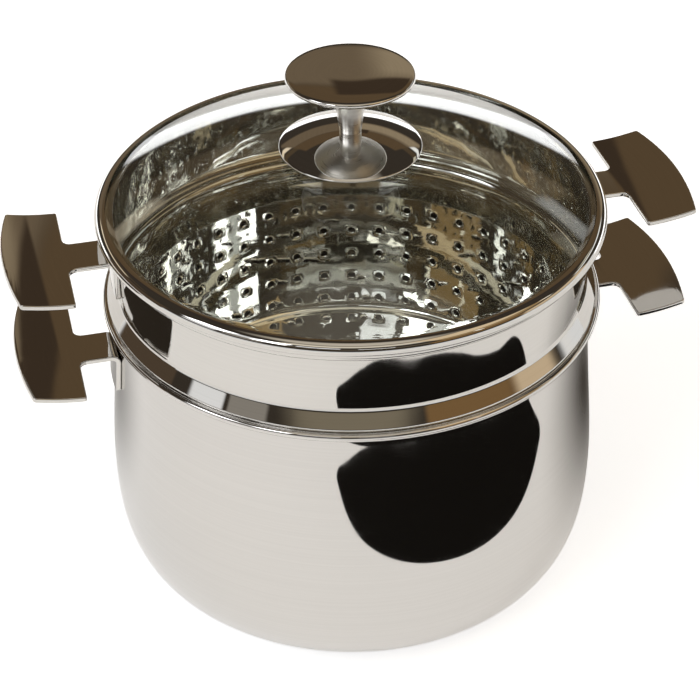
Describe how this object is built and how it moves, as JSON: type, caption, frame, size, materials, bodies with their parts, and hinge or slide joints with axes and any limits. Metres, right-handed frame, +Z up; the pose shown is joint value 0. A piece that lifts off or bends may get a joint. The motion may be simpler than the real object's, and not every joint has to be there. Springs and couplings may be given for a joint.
{
  "type": "stovetop rice cooker",
  "caption": "Polished steel stovetop rice cooker: bellied pot, perforated steaming insert that stands on its rim, domed glass lid with a disc knob, stamped paddle handles.",
  "frame": {"origin": "on the stove, under the middle of the base", "axes": "+Z up, handles along X"},
  "size_m": [0.3472, 0.2574, 0.2823],
  "materials": {
    "polished_steel": "mirror polished stainless steel",
    "handle_steel": "mirror polished stamped stainless plate",
    "base_steel": "fine turned stainless steel",
    "aluminium_core": "bare",
    "lid_glass": "clear tempered glass with a faint green edge",
    "silicone": "matte translucent silicone",
    "screw_steel": "plain stainless steel"
  },
  "bodies": {
    "pot": {"pot_body": "polished_steel", "base_core": "aluminium_core", "base_cap": "base_steel", "pot_handle_right": "handle_steel", "pot_handle_left": "handle_steel"},
    "insert": {"insert_body": "polished_steel", "insert_handle_right": "handle_steel", "insert_handle_left": "handle_steel"},
    "lid": {"lid_glass": "lid_glass", "lid_band": "polished_steel", "knob_seal_top": "silicone", "knob_rosette": "polished_steel", "knob_stem": "polished_steel", "knob_disc": "polished_steel", "knob_seal_under": "silicone", "knob_washer": "screw_steel", "knob_screw": "screw_steel"}
  },
  "joints": [
    {"name": "insert_lift", "type": "slide", "parent": "pot", "child": "insert", "axis": [0, 0, 1], "range_m": [0, 0.16]},
    {"name": "lid_lift", "type": "slide", "parent": "insert", "child": "lid", "axis": [0, 0, 1], "range_m": [0, 0.12]}
  ]
}
